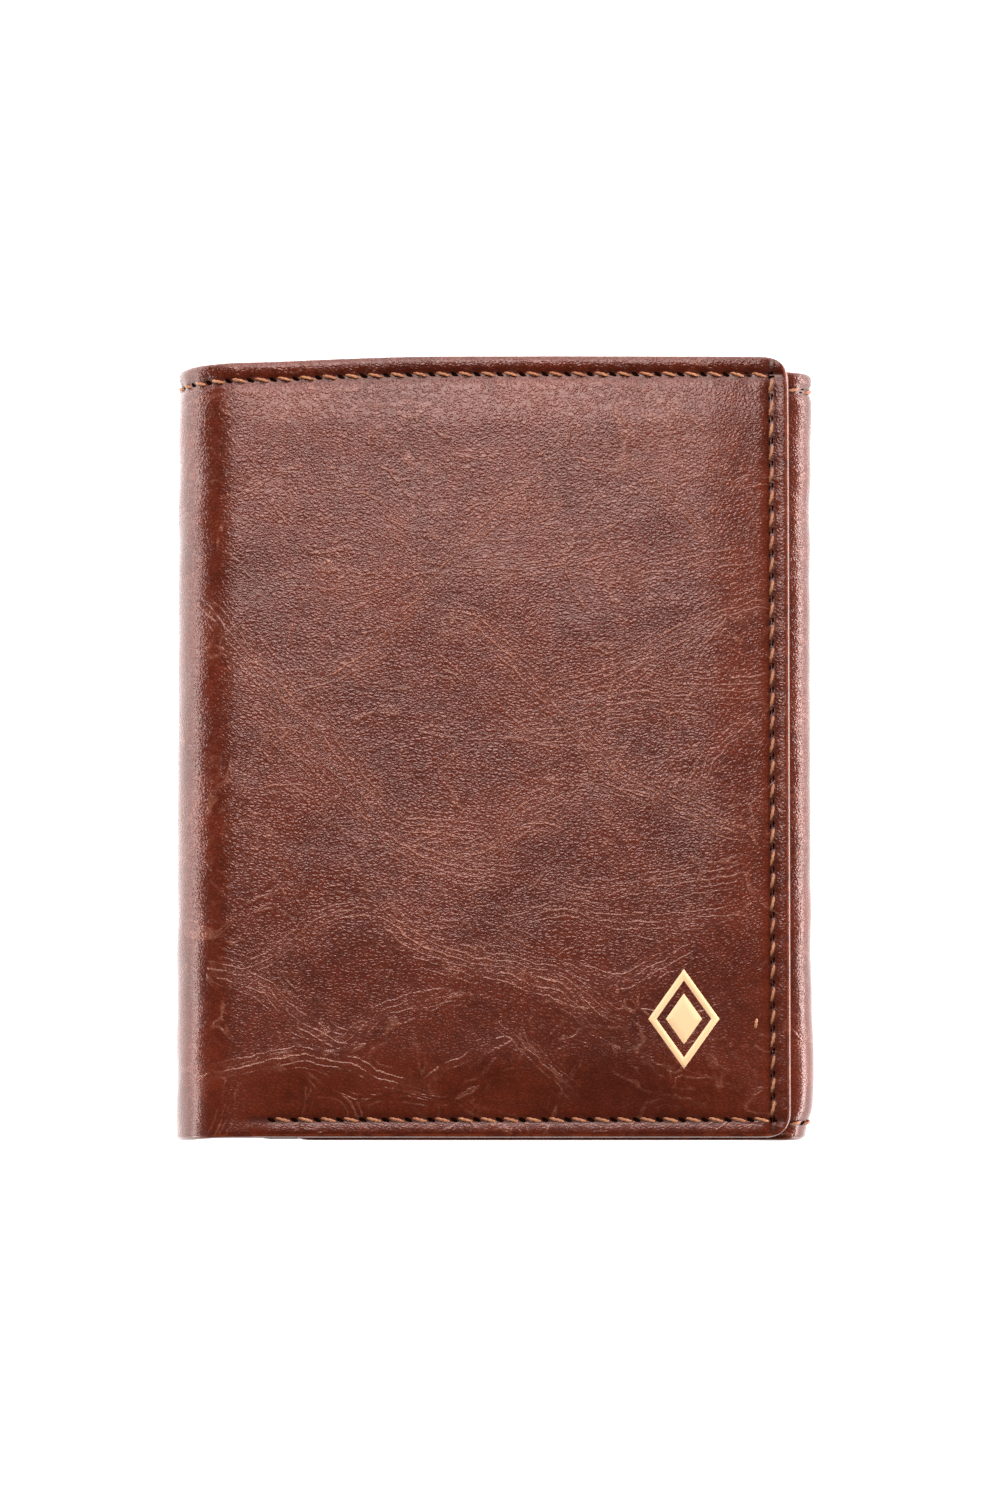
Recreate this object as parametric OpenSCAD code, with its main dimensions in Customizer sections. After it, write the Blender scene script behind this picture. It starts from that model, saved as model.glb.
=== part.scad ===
// Trifold wallet, closed and lying on its back.
// X runs across the closed wallet, Y along its folds, Z up from the surface it lies on.
// The origin is the middle of the back face.

/* [Wallet] */
// Width across the closed wallet
wallet_w = 90; // [88:0.5:92]
// Height along the folds
wallet_h = 110; // [106:1:118]
// Thickness of the closed wallet
wallet_t = 18.5; // [18.5:0.1:20]
// Height of the inner flap's outer face above the surface
inner_top = 10; // [9.8:0.1:10.2]
// Distance from the middle line to the outer flap's free edge
outer_reach = 41.2; // [40:0.1:41.5]
// Distance from the middle line to the inner flap's free edge
inner_reach = 29.7; // [28:0.1:30]
// Radius of the flaps' free corners
corner_r = 3; // [1:0.5:5]

/* [Leather and cloth] */
// Thickness of the outer leather
shell_t = 1.1; // [1:0.05:1.2]
// Thickness of the cloth glued inside the outer leather
lining_t = 0.3; // [0.2:0.05:0.35]
// Height of the closed note compartment
note_gap = 0.4; // [0.3:0.05:0.45]
// Thickness of the wall between the notes and the cards
divider_t = 0.6; // [0.5:0.05:0.65]
// Thickness of each card pocket's leather
pocket_t = 0.6; // [0.5:0.05:0.65]
// Height of each closed card slot
slot_gap = 0.2; // [0.15:0.01:0.22]

/* [Card pockets] */
// Height of the upper pocket's mouth above the middle of the wallet
mouth_y = 44; // [42:1:46]
// Distance between the mouths of neighbouring pockets
mouth_step = 10; // [8:1:10]
// Width of the window in the identity card's frame
window_w = 46; // [40:1:48]
// Height of the window in the identity card's frame
window_h = 74; // [60:1:76]
// Thickness of the clear window
film_t = 0.25; // [0.2:0.01:0.3]

/* [Stitching] */
// Distance from one stitch to the next
stitch_pitch = 3.2; // [2.5:0.1:4]
// Thickness of the thread
thread_d = 0.5; // [0.4:0.05:0.55]
// Distance from the side and bottom edges to the seam
seam_inset = 2.5; // [2.3:0.1:3]
// Distance from the top edge to the seam
top_inset = 2.9; // [2.3:0.1:3.2]

/* [Foil mark] */
// Width of the lozenge on the outer flap
mark_w = 10; // [6:0.5:12]
// Height of the lozenge on the outer flap
mark_h = 14; // [8:0.5:16]
// Thickness of the foil
mark_t = 0.1; // [0.05:0.01:0.15]

/* [Hidden] */

$fn = 48;
overcut = 1;
top_y = wallet_h / 2;
bottom_y = -wallet_h / 2;
top_seam_y = top_y - top_inset;
bottom_seam_y = bottom_y + seam_inset;

// Folds: half cylinders, cut from the panels by a slit that lets them turn.
left_r = wallet_t / 2;
right_r = inner_top / 2;
left_x = left_r - wallet_w / 2;
right_x = wallet_w / 2 - right_r;
fold_slit = 0.6;
panel_left = left_x + fold_slit;
panel_right = right_x - fold_slit;

// Seams and card panels stop short of the folds.
fold_margin = 2;
inner_left = panel_left + fold_margin;
inner_right = panel_right - fold_margin;
outer_seam_x = outer_reach - seam_inset;
inner_seam_x = seam_inset - inner_reach;

// Depth of each layer's far face below the outer leather's face
filler_t = lining_t;
lining_z = shell_t;
divider_z = lining_z + lining_t + note_gap;
pocket_z = divider_z + divider_t;
pocket_step = slot_gap + pocket_t;
frame_z = pocket_z + pocket_step;
frame_depth = slot_gap + film_t + pocket_t;

// Cards: standard size, with room to slide
card_h = 85.6;
card_play = 1;
card_floor = bottom_y + seam_inset + card_play;
slot_wall = 5;
window_lip = 1.5;
margin = seam_inset + 1.5;

// Stitches lie in a groove as deep as the thread.
groove_w = thread_d + 0.2;
stitch_gap = 0.8;

// Panel helpers: each panel is drawn outer face down at z = 0, its layers stacked upwards.

// Turns a panel over, its outer face at the height of `top`.
module face_up(top) {
  translate([0, 0, top]) mirror([0, 0, 1]) children();
}

// What a rounded corner takes off a square one; sx and sy point out of the corner.
module corner_waste(x, y, sx, sy) {
  difference() {
    translate([x, y]) square(2 * corner_r, center = true);
    translate([x - sx * corner_r, y - sy * corner_r]) circle(corner_r);
    translate([x - sx * 2 * corner_r, y]) square([2 * corner_r, 6 * corner_r], center = true);
    translate([x, y - sy * 2 * corner_r]) square([6 * corner_r, 2 * corner_r], center = true);
  }
}

// A flat layer; `free` is the side with rounded corners: 1 right, -1 left, 0 none.
module layer(x0, x1, y0, y1, t, free = 0) {
  linear_extrude(t) difference() {
    translate([x0, y0]) square([x1 - x0, y1 - y0]);
    if (free != 0) {
      for (sy = [-1, 1]) {
        corner_waste(free > 0 ? x1 : x0, sy * top_y, free, sy);
      }
    }
  }
}

// A straight groove for a seam, cut into the outer face.
module groove(x0, y0, x1, y1) {
  w = groove_w / 2;
  translate([min(x0, x1) - w, min(y0, y1) - w, -overcut])
    cube([abs(x1 - x0) + groove_w, abs(y1 - y0) + groove_w, thread_d + overcut]);
}

// A row of stitches that lies in such a groove.
module stitch_row(x0, y0, x1, y1) {
  run = norm([x1 - x0, y1 - y0]);
  count = floor(run / stitch_pitch);
  pitch = run / count;
  translate([x0, y0, thread_d / 2]) rotate([0, 0, atan2(y1 - y0, x1 - x0)])
    for (i = [0 : count - 1]) {
      translate([i * pitch + stitch_gap / 2, 0, 0]) rotate([0, 90, 0])
        cylinder(h = pitch - stitch_gap, d = thread_d, $fn = 16);
    }
}

// A wall layer with thicker margins that close the note compartment: always at the
// bottom, and at the free side where there is one.
module divider(x0, x1, free = 0) {
  note_x0 = free < 0 ? x0 + margin : x0 - overcut;
  note_x1 = free > 0 ? x1 - margin : x1 + overcut;
  translate([0, 0, divider_z - note_gap]) difference() {
    layer(x0, x1, bottom_y, top_y, note_gap + divider_t, free);
    translate([note_x0, bottom_y + margin, -overcut])
      cube([note_x1 - note_x0, wallet_h, note_gap + overcut]);
  }
}

// A card pocket, counted from 0 next to the wall: a leather panel whose back is
// hollowed to take a card from above.
module card_pocket(x0, x1, index, mouth, free = 0) {
  floor_y = max(card_floor, mouth - card_h + mouth_step);
  slot_x0 = x0 + slot_wall;
  translate([0, 0, pocket_z + index * pocket_step]) difference() {
    layer(x0, x1, bottom_y, mouth, pocket_step, free);
    translate([slot_x0, floor_y, -overcut])
      cube([x1 - x0 - 2 * slot_wall, wallet_h, slot_gap + overcut]);
  }
}

// Folds: half rings about a line along Y.
// `side` is -1 for the left fold and 1 for the right one.
module half_ring(x, r, depth, t, side, y0, y1) {
  translate([x, y1, r]) rotate([90, side * 90, 0])
    rotate_extrude(angle = 180, $fn = 96)
      translate([r - depth - t, 0]) square([t, y1 - y0]);
}

// A seam's groove around a fold, at the height y.
module ring_groove(x, r, side, y) {
  half_ring(x, r, -overcut, thread_d + overcut, side, y - groove_w / 2, y + groove_w / 2);
}

// Stitches around a fold, at the height y.
module ring_stitches(x, r, side, y) {
  count = floor(PI * r / stitch_pitch);
  step = 180 / count;
  gap = stitch_gap / r * 180 / PI;
  translate([x, y, r]) rotate([90, side * 90, 0])
    for (i = [0 : count - 1]) {
      rotate([0, 0, i * step + gap / 2]) rotate_extrude(angle = step - gap, $fn = 96)
        translate([r - thread_d / 2, 0]) circle(d = thread_d, $fn = 16);
    }
}

// The wall's layer around a fold, with a rib that closes its bottom edge.
module ring_divider(x, r, side) {
  half_ring(x, r, divider_z, divider_t, side, bottom_y, top_y);
  half_ring(x, r, divider_z - note_gap, note_gap + divider_t, side, bottom_y, bottom_y + margin);
}

// Back panel

module back_shell() {
  color("saddlebrown") difference() {
    layer(panel_left, panel_right, bottom_y, top_y, shell_t);
    groove(panel_left - overcut, top_seam_y, panel_right + overcut, top_seam_y);
    groove(inner_left, bottom_seam_y, panel_right + overcut, bottom_seam_y);
  }
}

module back_lining() {
  color("dimgray") translate([0, 0, lining_z])
    layer(panel_left, panel_right, bottom_y, top_y, lining_t);
}

module back_divider() {
  color("sienna") divider(panel_left, panel_right);
}

module back_upper_pocket() {
  color("saddlebrown") card_pocket(inner_left, inner_right, 0, mouth_y);
}

module back_middle_pocket() {
  color("sienna") card_pocket(inner_left, inner_right, 1, mouth_y - mouth_step);
}

module back_lower_pocket() {
  color("saddlebrown") card_pocket(inner_left, inner_right, 2, mouth_y - 2 * mouth_step);
}

module back_top_seam() {
  color("peru") stitch_row(panel_left, top_seam_y, panel_right, top_seam_y);
}

module back_bottom_seam() {
  color("peru") stitch_row(inner_left, bottom_seam_y, panel_right, bottom_seam_y);
}

// Left fold

module left_fold_shell() {
  color("brown") difference() {
    half_ring(left_x, left_r, 0, shell_t, -1, bottom_y, top_y);
    ring_groove(left_x, left_r, -1, top_seam_y);
  }
}

module left_fold_lining() {
  color("dimgray") half_ring(left_x, left_r, lining_z, lining_t, -1, bottom_y, top_y);
}

module left_fold_divider() {
  color("sienna") ring_divider(left_x, left_r, -1);
}

module left_fold_top_seam() {
  color("peru") ring_stitches(left_x, left_r, -1, top_seam_y);
}

// Outer flap

module outer_flap_shell() {
  color("brown") face_up(wallet_t) difference() {
    layer(panel_left, outer_reach, bottom_y, top_y, shell_t, 1);
    groove(panel_left - overcut, top_seam_y, outer_seam_x, top_seam_y);
    groove(outer_seam_x, bottom_seam_y, outer_seam_x, top_seam_y);
    groove(inner_left, bottom_seam_y, outer_seam_x, bottom_seam_y);
    mark_recess();
    filler_recess();
  }
}

// The foil mark's place on the outer flap
mark_x = 26.5;
mark_y = -37.6;
mark_line = 1.2;

module lozenge(w, h, t) {
  linear_extrude(t) polygon([[w / 2, 0], [0, h / 2], [-w / 2, 0], [0, -h / 2]]);
}

// A lozenge outline around a small full lozenge
module mark_shape(t) {
  ratio = mark_h / mark_w;
  inner_w = mark_w - 4 * mark_line;
  translate([mark_x, mark_y, 0]) {
    difference() {
      lozenge(mark_w, mark_h, t);
      translate([0, 0, -overcut])
        lozenge(mark_w - 2 * mark_line, (mark_w - 2 * mark_line) * ratio, t + 2 * overcut);
    }
    lozenge(inner_w, inner_w * ratio, t);
  }
}

module mark_recess() {
  translate([0, 0, -overcut]) mark_shape(mark_t + overcut);
}

module outer_flap_mark() {
  color("wheat") face_up(wallet_t) mark_shape(mark_t);
}

// The filler sits in the skived back of the outer leather, clear of the seams.
filler_clear = 6;

module filler_block(extra) {
  translate([panel_left + filler_clear, bottom_y + filler_clear, shell_t - filler_t])
    cube([
      outer_reach - panel_left - 2 * filler_clear,
      wallet_h - 2 * filler_clear,
      filler_t + extra
    ]);
}

module filler_recess() {
  filler_block(overcut);
}

module outer_flap_filler() {
  color("gainsboro") face_up(wallet_t) filler_block(0);
}

module outer_flap_lining() {
  color("dimgray") face_up(wallet_t) translate([0, 0, lining_z])
    layer(panel_left, outer_reach, bottom_y, top_y, lining_t, 1);
}

module outer_flap_divider() {
  color("sienna") face_up(wallet_t) divider(panel_left, outer_reach, 1);
}

module outer_flap_upper_pocket() {
  color("saddlebrown") face_up(wallet_t) card_pocket(inner_left, outer_reach, 0, mouth_y, 1);
}

module outer_flap_middle_pocket() {
  color("sienna") face_up(wallet_t)
    card_pocket(inner_left, outer_reach, 1, mouth_y - mouth_step, 1);
}

module outer_flap_lower_pocket() {
  color("saddlebrown") face_up(wallet_t)
    card_pocket(inner_left, outer_reach, 2, mouth_y - 2 * mouth_step, 1);
}

module outer_flap_top_seam() {
  color("peru") face_up(wallet_t)
    stitch_row(panel_left, top_seam_y, outer_seam_x, top_seam_y);
}

module outer_flap_side_seam() {
  color("peru") face_up(wallet_t) stitch_row(outer_seam_x, bottom_seam_y, outer_seam_x, top_seam_y);
}

module outer_flap_bottom_seam() {
  color("peru") face_up(wallet_t)
    stitch_row(inner_left, bottom_seam_y, outer_seam_x, bottom_seam_y);
}

// Right fold

module right_fold_shell() {
  color("brown") difference() {
    half_ring(right_x, right_r, 0, shell_t, 1, bottom_y, top_y);
    ring_groove(right_x, right_r, 1, top_seam_y);
    ring_groove(right_x, right_r, 1, bottom_seam_y);
  }
}

module right_fold_lining() {
  color("dimgray") half_ring(right_x, right_r, lining_z, lining_t, 1, bottom_y, top_y);
}

module right_fold_divider() {
  color("sienna") ring_divider(right_x, right_r, 1);
}

module right_fold_top_seam() {
  color("peru") ring_stitches(right_x, right_r, 1, top_seam_y);
}

module right_fold_bottom_seam() {
  color("peru") ring_stitches(right_x, right_r, 1, bottom_seam_y);
}

// Inner flap

module inner_flap_shell() {
  color("brown") face_up(inner_top) difference() {
    layer(-inner_reach, panel_right, bottom_y, top_y, shell_t, -1);
    groove(inner_seam_x, top_seam_y, panel_right + overcut, top_seam_y);
    groove(inner_seam_x, bottom_seam_y, inner_seam_x, top_seam_y);
    groove(inner_seam_x, bottom_seam_y, panel_right + overcut, bottom_seam_y);
  }
}

module inner_flap_lining() {
  color("dimgray") face_up(inner_top) translate([0, 0, lining_z])
    layer(-inner_reach, panel_right, bottom_y, top_y, lining_t, -1);
}

module inner_flap_divider() {
  color("sienna") face_up(inner_top) divider(-inner_reach, panel_right, -1);
}

module inner_flap_card_pocket() {
  color("saddlebrown") face_up(inner_top)
    card_pocket(-inner_reach, inner_right, 0, mouth_y, -1);
}

// A block in the middle of the identity card's frame
module window_block(w, h, z, t) {
  mid_x = (inner_right - inner_reach) / 2;
  translate([mid_x - w / 2, bottom_y + margin + window_lip, z]) cube([w, h, t]);
}

module inner_flap_window() {
  film_w = window_w + 2 * window_lip;
  color("lightcyan", 0.4) face_up(inner_top)
    translate([0, -window_lip, 0])
      window_block(film_w, window_h + 2 * window_lip, frame_z + slot_gap, film_t);
}

module inner_flap_window_frame() {
  film_w = window_w + 2 * window_lip;
  mouth = bottom_y + card_h + margin;
  color("sienna") face_up(inner_top) difference() {
    translate([0, 0, frame_z]) layer(-inner_reach, inner_right, bottom_y, mouth, frame_depth, -1);
    translate([slot_wall - inner_reach, card_floor, frame_z - overcut])
      cube([inner_right + inner_reach - 2 * slot_wall, wallet_h, slot_gap + overcut]);
    translate([0, -window_lip, 0])
      window_block(film_w, window_h + 2 * window_lip, frame_z, slot_gap + film_t);
    window_block(window_w, window_h, frame_z, frame_depth + overcut);
  }
}

module inner_flap_top_seam() {
  color("peru") face_up(inner_top)
    stitch_row(inner_seam_x, top_seam_y, panel_right, top_seam_y);
}

module inner_flap_side_seam() {
  color("peru") face_up(inner_top) stitch_row(inner_seam_x, bottom_seam_y, inner_seam_x, top_seam_y);
}

module inner_flap_bottom_seam() {
  color("peru") face_up(inner_top)
    stitch_row(inner_seam_x, bottom_seam_y, panel_right, bottom_seam_y);
}

back_shell();
back_lining();
back_divider();
back_upper_pocket();
back_middle_pocket();
back_lower_pocket();
back_top_seam();
back_bottom_seam();
left_fold_shell();
left_fold_lining();
left_fold_divider();
left_fold_top_seam();
outer_flap_shell();
outer_flap_filler();
outer_flap_lining();
outer_flap_divider();
outer_flap_upper_pocket();
outer_flap_middle_pocket();
outer_flap_lower_pocket();
outer_flap_top_seam();
outer_flap_side_seam();
outer_flap_bottom_seam();
outer_flap_mark();
right_fold_shell();
right_fold_lining();
right_fold_divider();
right_fold_top_seam();
right_fold_bottom_seam();
inner_flap_shell();
inner_flap_lining();
inner_flap_divider();
inner_flap_card_pocket();
inner_flap_window();
inner_flap_window_frame();
inner_flap_top_seam();
inner_flap_side_seam();
inner_flap_bottom_seam();
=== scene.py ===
import math

import bpy
import numpy as np
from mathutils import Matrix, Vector


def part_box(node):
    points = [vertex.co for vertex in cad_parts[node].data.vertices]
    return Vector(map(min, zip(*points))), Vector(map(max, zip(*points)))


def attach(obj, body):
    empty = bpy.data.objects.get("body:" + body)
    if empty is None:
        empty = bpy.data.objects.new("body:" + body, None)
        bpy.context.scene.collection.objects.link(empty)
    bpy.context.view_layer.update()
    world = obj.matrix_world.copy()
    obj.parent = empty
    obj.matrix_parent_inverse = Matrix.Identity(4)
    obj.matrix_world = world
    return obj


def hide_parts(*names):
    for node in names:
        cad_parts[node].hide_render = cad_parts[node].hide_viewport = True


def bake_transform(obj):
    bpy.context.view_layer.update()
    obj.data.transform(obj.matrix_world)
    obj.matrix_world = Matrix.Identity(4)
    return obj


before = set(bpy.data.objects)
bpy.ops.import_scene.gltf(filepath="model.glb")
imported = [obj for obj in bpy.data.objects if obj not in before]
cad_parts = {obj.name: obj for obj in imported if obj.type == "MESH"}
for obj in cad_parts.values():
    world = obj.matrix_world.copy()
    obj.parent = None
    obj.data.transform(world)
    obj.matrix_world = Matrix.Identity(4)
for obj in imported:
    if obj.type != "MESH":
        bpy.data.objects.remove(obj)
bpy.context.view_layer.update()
MM = 0.001

# -------- camera

CAMERA_HEIGHT = 0.600
CAMERA_SETBACK = 0.028
VIEW_HEIGHT = 0.2101
SENSOR = 36.0
AIM = Vector((0.0008, 0.0, 0.0185))


def make_camera():
    """A camera above the wallet, a little towards its bottom edge, with the long side upright."""
    data = bpy.data.cameras.new("camera")
    camera = bpy.data.objects.new("camera", data)
    bpy.context.scene.collection.objects.link(camera)
    camera.location = AIM + Vector((0, -CAMERA_SETBACK, CAMERA_HEIGHT))
    camera.rotation_euler = (AIM - camera.location).to_track_quat("-Z", "Y").to_euler()
    data.sensor_width = SENSOR
    data.lens = SENSOR * (AIM - camera.location).length / VIEW_HEIGHT
    data.clip_start = 0.05
    data.clip_end = 20
    bpy.context.scene.camera = camera


make_camera()

# -------- small maths


def smooth(x, low, high):
    """0 below low, 1 above high, and a smooth step between them."""
    t = np.clip((np.asarray(x, float) - low) / (high - low), 0, 1)
    return t * t * (3 - 2 * t)


def dent(x, centre, width):
    """A smooth bump of height 1 at centre."""
    return np.exp(-(((np.asarray(x, float) - centre) / width) ** 2))


def waves(s, y, length, seed, count=14):
    """A smooth random field of unit size whose waves are about `length` long."""
    rng = np.random.default_rng(seed)
    total = np.zeros(np.broadcast(s, y).shape)
    for _ in range(count):
        angle, phase = rng.uniform(0, 2 * math.pi, 2)
        k = 2 * math.pi / (length * rng.uniform(0.7, 1.5))
        total += np.sin(k * (s * math.cos(angle) + y * math.sin(angle)) + phase)
    return total / math.sqrt(count / 2)


# -------- the wallet's skin as a surface

# Every layer of a panel is laid out flat: s runs along the leather from the middle of the
# panel's fold towards the panel's far end, y runs along the fold, and d is the depth below
# the leather's face. A Panel wraps that sheet around its fold and presses its edges together.

LEFT_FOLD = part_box("left_fold_shell")
RIGHT_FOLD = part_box("right_fold_shell")
OUTER_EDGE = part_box("outer_flap_shell")[1].x + 0.3 * MM
INNER_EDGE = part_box("inner_flap_shell")[0].x
TOP_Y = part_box("back_shell")[1].y
SEAM = 2.5 * MM
TOP_SEAM = 2.65 * MM
PITCH = 3.2 * MM
CORNER = 3.3 * MM
NO_EDGE = 1.0

# Where the flat panel begins: a share of the fold's arc, and a run past its end.
FLAT_FROM = 0.75
FLAT_RUN = 7 * MM
# Towards the sewn edges the layers are squeezed together and sink.
EDGE_NEAR, EDGE_FAR = 2 * MM, 12 * MM
EDGE_SQUEEZE = 0.44
EDGE_SINK = 0.75 * MM
HEM_NEAR, HEM_FAR = 2.5 * MM, 10 * MM
HEM_SINK = 0.3 * MM
HEM_SKIN_SINK = 0.12 * MM
# The skin and its lining lie above the first depth, the wall and the pockets below the second.
SKIN_END, WALL_START = 1.5 * MM, 1.8 * MM
# Each seam pulls a ditch into the leather, with a pucker at each hole.
DITCH = 0.38 * MM
DITCH_WIDTH = 0.75 * MM
PUCKER = 0.14 * MM
PUCKER_WIDTH = 1.2 * MM
SIDE_DITCH, BOTTOM_DITCH, TOP_DITCH = 0.85, 0.4, 1.0
DITCH_FADE = 0.3
DITCH_FADE_DEPTH = 1.2 * MM
# The face rolls over towards its cut edges.
ROLL = 0.16 * MM
ROLL_WIDTH = 1.1 * MM
# Worn leather swells and sinks softly: height, wave length and seed.
LUMPS = ((0.07 * MM, 34 * MM, 3), (0.015 * MM, 12 * MM, 8), (0.006 * MM, 5 * MM, 21))
LUMPS_PRESSED = 0.75
FOLD_RIPPLE = (0.03 * MM, 9 * MM, 5)
# The right fold is fuller at two places along it, and pinched at its bottom edge.
FULLER = ((1.3, TOP_Y, 14 * MM), (1.1, -44 * MM, 8 * MM))
PINCH = 1.0 * MM
PINCH_REACH = 5 * MM
# The flaps are crowned: their face drops this much towards the middle of each side.
CROWN = 0.22 * MM


class Panel:
    """One half of a fold and the flat panel beside it."""

    def __init__(self, side, up, far_x, drop, u_start=0.0, free=False, short=0.0,
                 sewn_fold=False, swell=0.0):
        """side is -1 at the left fold and 1 at the right one; up is 1 for a flap and -1 for
        the back panel; u_start is where the fold's middle lies along the whole skin."""
        fold = LEFT_FOLD if side < 0 else RIGHT_FOLD
        flap = "outer_flap" if side < 0 else "inner_flap"
        self.fold_body = "left_fold" if side < 0 else "right_fold"
        self.body = flap if up > 0 else "back_panel"
        self.flipped = side * up > 0
        self.side, self.up, self.free = side, up, free
        self.r = (fold[1].z - fold[0].z) / 2
        self.x = fold[1].x if side < 0 else fold[0].x
        self.arc = self.r * math.pi / 2
        self.end = self.arc + abs(far_x - self.x)
        self.u_start, self.u_sign = u_start, -side * up
        self.short, self.drop, self.sewn_fold, self.swell = short, drop, sewn_fold, swell
        self.row = self.end - (SEAM if free else 0)
        self.pitch = self.row / round(self.row / PITCH)
        column = float(self.top(self.end) - self.bottom(self.end)) - SEAM - TOP_SEAM
        self.side_pitch = column / round(column / PITCH)

    def bottom(self, s):
        """The bottom edge, which is cut a little shorter on the flat panel."""
        return -TOP_Y + self.short * smooth(s, 0, self.arc)

    def top(self, s):
        """The top edge, which sags a little towards the fold."""
        at_fold, on_panel, over = self.drop
        return TOP_Y - at_fold - (on_panel - at_fold) * smooth(s, 0, self.arc + over)

    def depths(self, node):
        """The depths of a flat CAD node's two faces below this panel's face."""
        low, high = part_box(node)
        return (2 * self.r - high.z, 2 * self.r - low.z) if self.up > 0 else (low.z, high.z)

    def s_of(self, x):
        """How far along the leather a point of the flat panel lies."""
        return self.arc + abs(x - self.x)

    def gaps(self, s, y):
        """The distances to the free end, the bottom edge and the top edge."""
        e_free = self.end - s if self.free else np.full_like(s, NO_EDGE)
        return e_free, y - self.bottom(s), self.top(s) - y

    def ditch(self, s, y, sewn):
        """The ditches that the seams pull into the leather, deepest at their holes."""
        e_free, e_bottom, e_top = self.gaps(s, y)
        down = self.top(self.end) - TOP_SEAM - y
        seams = ((e_free - SEAM, SIDE_DITCH, down, self.side_pitch),
                 (e_bottom - SEAM, BOTTOM_DITCH * sewn, s, self.pitch),
                 (e_top - TOP_SEAM, TOP_DITCH, s, self.pitch))
        deepest = np.zeros(s.shape)
        for gap, share, run, pitch in seams:
            pull = 0.5 + 0.5 * np.cos(2 * math.pi * run / pitch)
            valley = DITCH * dent(gap, 0, DITCH_WIDTH) + PUCKER * pull * dent(gap, 0, PUCKER_WIDTH)
            deepest = np.maximum(deepest, valley * share)
        return deepest

    def press(self, s, y, d):
        """The depth after the seams have pulled the layers together."""
        u = self.u_start + self.u_sign * s
        flat = smooth(s, FLAT_FROM * self.arc, self.arc + FLAT_RUN)
        e_free, e_bottom, e_top = self.gaps(s, y)
        sewn = 1.0 if self.sewn_fold else flat
        edge = np.maximum(1 - smooth(e_free, EDGE_NEAR, EDGE_FAR),
                          (1 - smooth(e_bottom, EDGE_NEAR, EDGE_FAR)) * flat)
        hem = (1 - smooth(e_top, HEM_NEAR, HEM_FAR)) * flat
        upper = 1 - smooth(d, SKIN_END, WALL_START)
        depth = d * (1 - EDGE_SQUEEZE * edge) + EDGE_SINK * edge
        depth += hem * (HEM_SINK + HEM_SKIN_SINK * upper)
        fade = 1 - DITCH_FADE * smooth(d, 0, DITCH_FADE_DEPTH)
        depth += self.ditch(s, y, sewn) * upper * fade
        nearest = np.minimum(np.minimum(e_free, e_top), np.where(sewn > 0.5, e_bottom, NO_EDGE))
        depth += ROLL * np.clip(1 - nearest / ROLL_WIDTH, 0, 1) ** 2 * upper
        lumps = sum(height * waves(u, y, length, seed) for height, length, seed in LUMPS)
        depth += lumps * flat * (1 - LUMPS_PRESSED * edge) * upper
        height, length, seed = FOLD_RIPPLE
        depth += height * waves(u, y, length, seed) * (1 - flat) * upper
        if self.swell:
            fuller = self.swell * (1 + sum(k * dent(y, at, width) for k, at, width in FULLER))
            pinch = PINCH * (1 - smooth(e_bottom, 0, PINCH_REACH))
            depth += (pinch - fuller) * (1 - smooth(s, 0, self.arc))
        if self.up > 0:
            middle = (self.arc + self.end) / 2
            bow = ((s - middle) / (self.end - self.arc) * 2) ** 2 + (y / TOP_Y) ** 2
            depth += CROWN * np.clip(bow, 0, 2) * flat
        return depth

    def place(self, s, y, d):
        """Wraps points of the laid-out sheet into the row frame."""
        s, y, d = np.broadcast_arrays(*(np.asarray(a, float) for a in (s, y, d)))
        depth = self.press(s, y, d)
        angle = np.clip(s, 0, self.arc) / self.r
        flat = np.maximum(s - self.arc, 0)
        x = self.x + self.side * ((self.r - depth) * np.cos(angle) - flat)
        z = self.r + self.up * (self.r - depth) * np.sin(angle)
        return np.stack([x, y, np.maximum(z, 0)], -1)

    def uv(self, s, y):
        """The laid-out coordinates along the whole skin."""
        return np.stack(np.broadcast_arrays(self.u_start + self.u_sign * s, y), -1)


LEFT_ARC = (LEFT_FOLD[1].z - LEFT_FOLD[0].z) / 4 * math.pi
RIGHT_ARC = (RIGHT_FOLD[1].z - RIGHT_FOLD[0].z) / 4 * math.pi
BACK_SPLIT = 0.0
RIGHT_MIDDLE = LEFT_FOLD[1].x - LEFT_ARC - RIGHT_FOLD[0].x - RIGHT_ARC
# How far the top edge lies below its full height at the fold and on the panel, and how far
# past the fold it takes to get there; the outer flap's edge rises a little above it.
LEFT_SAG = 0.6 * MM
BACK_SAG = 0.45 * MM
OUTER_RISE = 0.7 * MM
OUTER_DROP = (LEFT_SAG, -OUTER_RISE, 30 * MM)
LEFT_DROP = (LEFT_SAG, BACK_SAG, 0)
RIGHT_DROP = (BACK_SAG, BACK_SAG, 0)
OUTER_SHORT = 0.8 * MM
RIGHT_SWELL = 0.3 * MM

OUTER = Panel(-1, 1, OUTER_EDGE, OUTER_DROP, free=True, short=OUTER_SHORT)
BACK_LEFT = Panel(-1, -1, BACK_SPLIT, LEFT_DROP)
BACK_RIGHT = Panel(1, -1, BACK_SPLIT, RIGHT_DROP, RIGHT_MIDDLE, sewn_fold=True,
                   swell=RIGHT_SWELL)
INNER = Panel(1, 1, INNER_EDGE, RIGHT_DROP, RIGHT_MIDDLE, free=True, sewn_fold=True,
              swell=RIGHT_SWELL)
BACK = Panel(-1, -1, RIGHT_FOLD[0].x, LEFT_DROP)

# -------- meshes

SHARP = math.radians(62)
SAME = 1e-9
CLOSEST = 0.02 * MM


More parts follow.
